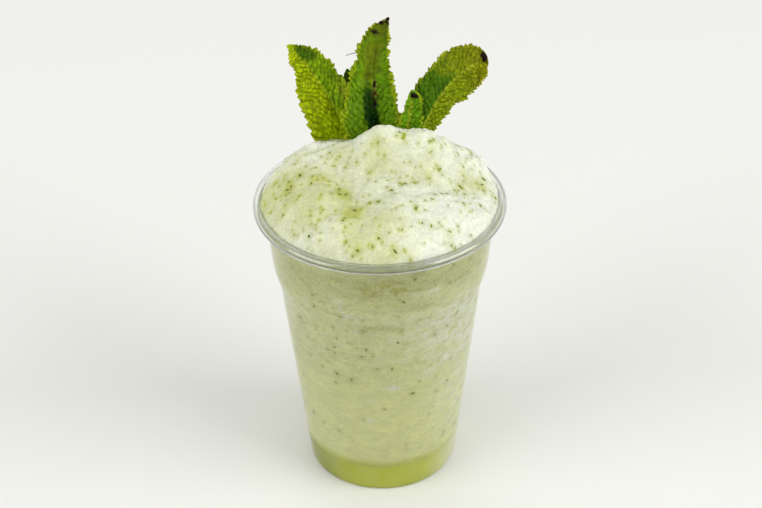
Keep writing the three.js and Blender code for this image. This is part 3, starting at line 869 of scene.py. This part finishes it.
# The front, the back and the narrow edges of a blade, whose back points follow its front points.
def blade_faces():
    columns = LEAF_STEPS_ACROSS + 1
    count = (LEAF_STEPS_ALONG + 1) * columns
    faces = []
    for i in range(LEAF_STEPS_ALONG):
        for j in range(LEAF_STEPS_ACROSS):
            a = i * columns + j
            faces.append((a, a + 1, a + columns + 1, a + columns))
            faces.append((count + a, count + a + columns, count + a + columns + 1, count + a + 1))
        first = i * columns
        last = first + columns - 1
        faces.append((first, first + columns, count + first + columns, count + first))
        faces.append((last, count + last, count + last + columns, last + columns))
    top = LEAF_STEPS_ALONG * columns
    for j in range(LEAF_STEPS_ACROSS):
        faces.append((j, count + j, count + j + 1, j + 1))
        faces.append((top + j, top + j + 1, count + top + j + 1, count + top + j))
    return faces


# Mint leaf, fresh: satin and quilted, with painted shade in its creases, thin enough that some light comes
# through.
mint = new_material("Mint leaf, fresh")
mint_place = add_node(mint, "ShaderNodeTexCoord")
mint_colour = add_node(mint, "ShaderNodeAttribute", attribute_name="leaf_colour_light_and_shade")
mint_mottle = add_node(mint, "ShaderNodeTexNoise", {
    "Vector": mint_place.outputs["Object"], "Scale": 1 / (MOTTLE_SIZE * MM), "Detail": 3.0})
mint_light = add_node(mint, "ShaderNodeMapRange", {
    "Value": mint_mottle.outputs[0], "From Min": 0.3, "From Max": 0.7, "To Min": 0.65, "To Max": 1.22})
mint_toned = add_node(mint, "ShaderNodeVectorMath", {
    0: mint_colour.outputs["Color"], "Scale": mint_light.outputs[0]}, operation="SCALE")
mint_bump = add_node(mint, "ShaderNodeBump", {
    "Height": mint_mottle.outputs[0], "Strength": 0.3, "Distance": MOTTLE_DEPTH * MM})
mint_shader = add_node(mint, "ShaderNodeBsdfPrincipled", {
    "Base Color": mint_toned.outputs[0], "Roughness": 0.5, "IOR": 1.4, "Specular IOR Level": 0.1,
    "Subsurface Weight": 0.12, "Subsurface Radius": (0.8, 1.0, 0.2), "Subsurface Scale": 0.8 * MM,
    "Normal": mint_bump.outputs[0]})
add_node(mint, "ShaderNodeOutputMaterial", {"Surface": mint_shader.outputs[0]})

steps_along = np.linspace(0, 1, LEAF_STEPS_ALONG + 1)
steps_across = np.linspace(-1, 1, LEAF_STEPS_ACROSS + 1)
share, offset = np.meshgrid(steps_along, steps_across, indexing="ij")
from_midrib = np.abs(offset)
for number, leaf in enumerate(LEAVES):
    # The midrib, the directions along it, across the blade and out of its face, and the half widths.
    base, bend, tip = (np.array(leaf[key]) for key in ("base", "bend", "tip"))
    s = share[..., None]
    centre = (1 - s) ** 2 * base + 2 * s * (1 - s) * bend + s ** 2 * tip
    along = unit((1 - s) * (bend - base) + s * (tip - bend))
    side = unit(np.cross(along, mixed(leaf["facing"], s)))
    out = unit(np.cross(side, along))
    rounding = np.sqrt(np.clip(1 - (np.maximum(share - 1 + TIP_ROUNDING, 0) / TIP_ROUNDING) ** 2, 0.02, 1))
    half = np.where(offset < 0, between(leaf["left"], share), between(leaf["right"], share)) * rounding
    length = np.linalg.norm(bend - base) + np.linalg.norm(tip - bend)

    # Patterns over the blade laid flat, and how far each point stands out of it.
    down = share * length
    across = offset * half
    blade_places = [Vector((d, a, PATTERN_STEP * number)) for d, a in zip(down.flat, across.flat)]
    crumple = np.reshape([noise.noise(place / CRUMPLE_SIZE) for place in blade_places], down.shape)
    fray = np.reshape([noise.noise(place / FRAY_SIZE) for place in blade_places], down.shape)
    cell_gaps = [noise.voronoi(place / QUILT_SIZE)[0] for place in blade_places]
    cell_sides = [np.clip((gaps[1] - gaps[0]) / QUILT_SLOPE, 0, 1) for gaps in cell_gaps]
    cell_rise = np.reshape(cell_sides, down.shape)
    phase = (down - np.abs(across) * VEIN_SLANT) / VEIN_SPACING + 0.9 * crumple
    vein = np.exp(-((0.5 - np.abs(np.mod(phase, 1) - 0.5)) / VEIN_WIDTH) ** 2)
    midrib = np.exp(-(across / MIDRIB_WIDTH) ** 2) * smooth_step(1.0, 0.8, share)
    tooth = np.mod(down / TOOTH_LENGTH + 0.9 * crumple, 1) - 0.5
    broad = np.minimum(half / QUILT_FULL_WIDTH, 1)
    teeth = TOOTH_DEPTH * broad * (tooth + 1.5 * crumple) * from_midrib ** 6
    reach = across + np.sign(offset) * teeth
    smooth_from = leaf["smooth"]
    smooth_middle = smooth_step(smooth_from, smooth_from + 0.12, share) * smooth_step(0.8, 0.5, from_midrib)
    quilted = broad * (1 - smooth_middle)
    relief = quilted * (QUILT_DEPTH * cell_rise - VEIN_DEPTH * vein)
    relief += CRUMPLE_DEPTH * crumple - MIDRIB_DEPTH * midrib
    ripple = leaf["ripple"] * np.sin(share * RIPPLE_TURN + from_midrib * RIPPLE_SLANT) * from_midrib
    lift = mixed(leaf["fold"], share) * half * from_midrib ** mixed(leaf["groove"], share) + ripple
    lift += relief * np.minimum(half / RELIEF_FULL_WIDTH, 1)
    middle = centre + side * reach[..., None] + out * lift[..., None]
    normal = unit(np.cross(np.gradient(middle, axis=1), np.gradient(middle, axis=0)))
    front = (middle + normal * LEAF_THICKNESS / 2).reshape(-1, 3)
    back = (middle - normal * LEAF_THICKNESS / 2).reshape(-1, 3)

    # Colours from the halves to the margin, the creases with their painted shade, the midrib, and the patches
    # of stain and of painted light and shade.
    left, right, end = leaf["colours"]
    colour = np.tile(np.array(linear(left)), (len(front), 1))
    colour = blended(colour, right, smooth_step(-0.1, 0.1, offset).ravel())
    colour = blended(colour, end, smooth_step(0.55, 1.0, share).ravel())
    margin = MARGIN_TINT * smooth_step(0.8, 1.0, from_midrib + 0.15 * crumple)
    colour = blended(colour, LEAF_MARGIN, margin.ravel())
    # Painted shade in the veins and between the quilted cells.
    crease_shade = quilted * (0.4 * vein + 0.4 * (1 - cell_rise)) * (1 - midrib)
    colour = blended(colour, LEAF_CREASE_SHADE, np.clip(crease_shade, 0, 0.7).ravel())
    colour = blended(colour, LEAF_MIDRIB, (0.6 * midrib * quilted).ravel())
    for patch_share, patch_offset, half_length, half_width, patch_colour, strength in leaf["patches"]:
        lengthwise = (share - patch_share) * length / half_length
        away = np.hypot(lengthwise, (offset - patch_offset) * half / half_width)
        patch = strength * smooth_step(1.2, 0.6, away + 0.6 * crumple + fray / half_width)
        colour = blended(colour, patch_colour, patch.ravel())
    blade = add_piece(leaf["name"] + "_blade", np.concatenate([front, back]), blade_faces(), mint)
    add_attribute(blade, "leaf_colour_light_and_shade", "FLOAT_COLOR", "color", np.concatenate([colour, colour]))
    carried(blade, "mint_leaf", leaf["name"])


# The fibre: a short brown hair of the plant that stands out from the margin of the middle leaf.
# It is caught under the edge of the blade, and thinner than a bristle.
FIBRE_PATH = [(-11.9, 26.3, 165.5), (-10.4, 26.5, 166.1), (-8.7, 26.6, 166.4), (-6.5, 26.9, 166.6)]
FIBRE_RADIUS = 0.13
FIBRE_STEPS_AROUND = 8
FIBRE_FLECK = 0.8
FIBRE_BROWN = "#6a5326"

# Plant fibre, dried: dull brown, a little lighter along its length in places.
fibre_stuff = new_material("Plant fibre, dried")
fibre_place = add_node(fibre_stuff, "ShaderNodeTexCoord")
fibre_noise = add_node(fibre_stuff, "ShaderNodeTexNoise", {
    "Vector": fibre_place.outputs["Object"], "Scale": 1 / (FIBRE_FLECK * MM)})
fibre_tone = add_node(fibre_stuff, "ShaderNodeMix", {
    MIX_FACTOR: fibre_noise.outputs[0], MIX_A: linear(LEAF_BROWN), MIX_B: linear(FIBRE_BROWN)},
    data_type="RGBA")
fibre_shader = add_node(fibre_stuff, "ShaderNodeBsdfPrincipled", {
    "Base Color": fibre_tone.outputs[MIX_RESULT], "Roughness": 0.7, "IOR": 1.4})
add_node(fibre_stuff, "ShaderNodeOutputMaterial", {"Surface": fibre_shader.outputs[0]})

fibre_turns = np.arange(FIBRE_STEPS_AROUND) * 2 * math.pi / FIBRE_STEPS_AROUND
fibre_ring = np.stack([0 * fibre_turns, np.cos(fibre_turns), np.sin(fibre_turns)], axis=1) * FIBRE_RADIUS
fibre_rings = [fibre_ring + place for place in FIBRE_PATH]
fibre = add_piece("leaf_fibre", *closed_rings(fibre_rings, FIBRE_PATH[0], FIBRE_PATH[-1]), fibre_stuff)
carried(fibre, "mint_leaf", "mint_leaf_centre")


# The studio floor: a plain pale sheet of paper, wider than the light reaches.
# It lies flat under the cup, and the part only stands on it.
FLOOR_COLOUR = "#eaebe8"
FLOOR_REACH = 4000

# Paper, matt: an even pale grey that takes soft shadows and gives no gloss.
paper = new_material("Paper, matt")
paper_shader = add_node(paper, "ShaderNodeBsdfPrincipled", {
    "Base Color": linear(FLOOR_COLOUR), "Roughness": 0.7})
add_node(paper, "ShaderNodeOutputMaterial", {"Surface": paper_shader.outputs[0]})
floor_corners = [(-FLOOR_REACH, -FLOOR_REACH, 0), (FLOOR_REACH, -FLOOR_REACH, 0),
                 (FLOOR_REACH, FLOOR_REACH, 0), (-FLOOR_REACH, FLOOR_REACH, 0)]
add_piece("studio_floor", floor_corners, [(0, 1, 2, 3)], paper)


# The light: large soft lamps at the front right and the front left, weaker ones behind and above,
# and a pale surround on all sides, so that shadows are faint.
# Lamps: name, place in metres, width in metres, watts.
LAMPS = [
    ("right_lamp", (2.4, -1.0, 1.3), 2.2, 63.0),
    ("left_lamp", (-2.4, -1.2, 1.3), 2.2, 50.0),
    ("back_lamp", (-0.5, 2.4, 1.5), 2.2, 15.0),
    ("top_lamp", (0.1, -0.3, 1.7), 3.0, 7.0),
]
LAMP_AIM = (0, 0, 0.09)
SURROUND_COLOUR = "#f2f1ec"
SURROUND_STRENGTH = 0.48
for name, place, size, power in LAMPS:
    lamp = bpy.data.lights.new(name, "AREA")
    lamp.size = size
    lamp.energy = power
    lamp_object = bpy.data.objects.new(name, lamp)
    lamp_object.location = place
    towards = Vector(LAMP_AIM) - Vector(place)
    lamp_object.rotation_euler = towards.to_track_quat("-Z", "Y").to_euler()
    bpy.context.scene.collection.objects.link(lamp_object)
surround = bpy.data.worlds.new("pale_surround")
surround.use_nodes = True
glow = surround.node_tree.nodes["Background"]
glow.inputs["Color"].default_value = linear(SURROUND_COLOUR)
glow.inputs["Strength"].default_value = SURROUND_STRENGTH
bpy.context.scene.world = surround
bpy.context.scene.view_settings.view_transform = "Standard"


# The camera: in front of the drink and above it, looking down into the heap.
# Its place is in metres, its pitch below level and its roll in degrees, and its lens and sensor in mm.
CAMERA_PLACE = (0.0002, -0.50791, 0.43825)
CAMERA_PITCH = 34.126
CAMERA_ROLL = -0.763
CAMERA_LENS = 75.59
CAMERA_SENSOR = 36
view = bpy.data.cameras.new("camera")
view.lens = CAMERA_LENS
view.sensor_width = CAMERA_SENSOR
camera = bpy.data.objects.new("camera", view)
tilted = Matrix.Rotation(math.radians(90 - CAMERA_PITCH), 4, "X")
rolled = Matrix.Rotation(math.radians(CAMERA_ROLL), 4, "Z")
camera.matrix_world = Matrix.Translation(CAMERA_PLACE) @ tilted @ rolled
bpy.context.scene.collection.objects.link(camera)
bpy.context.scene.camera = camera
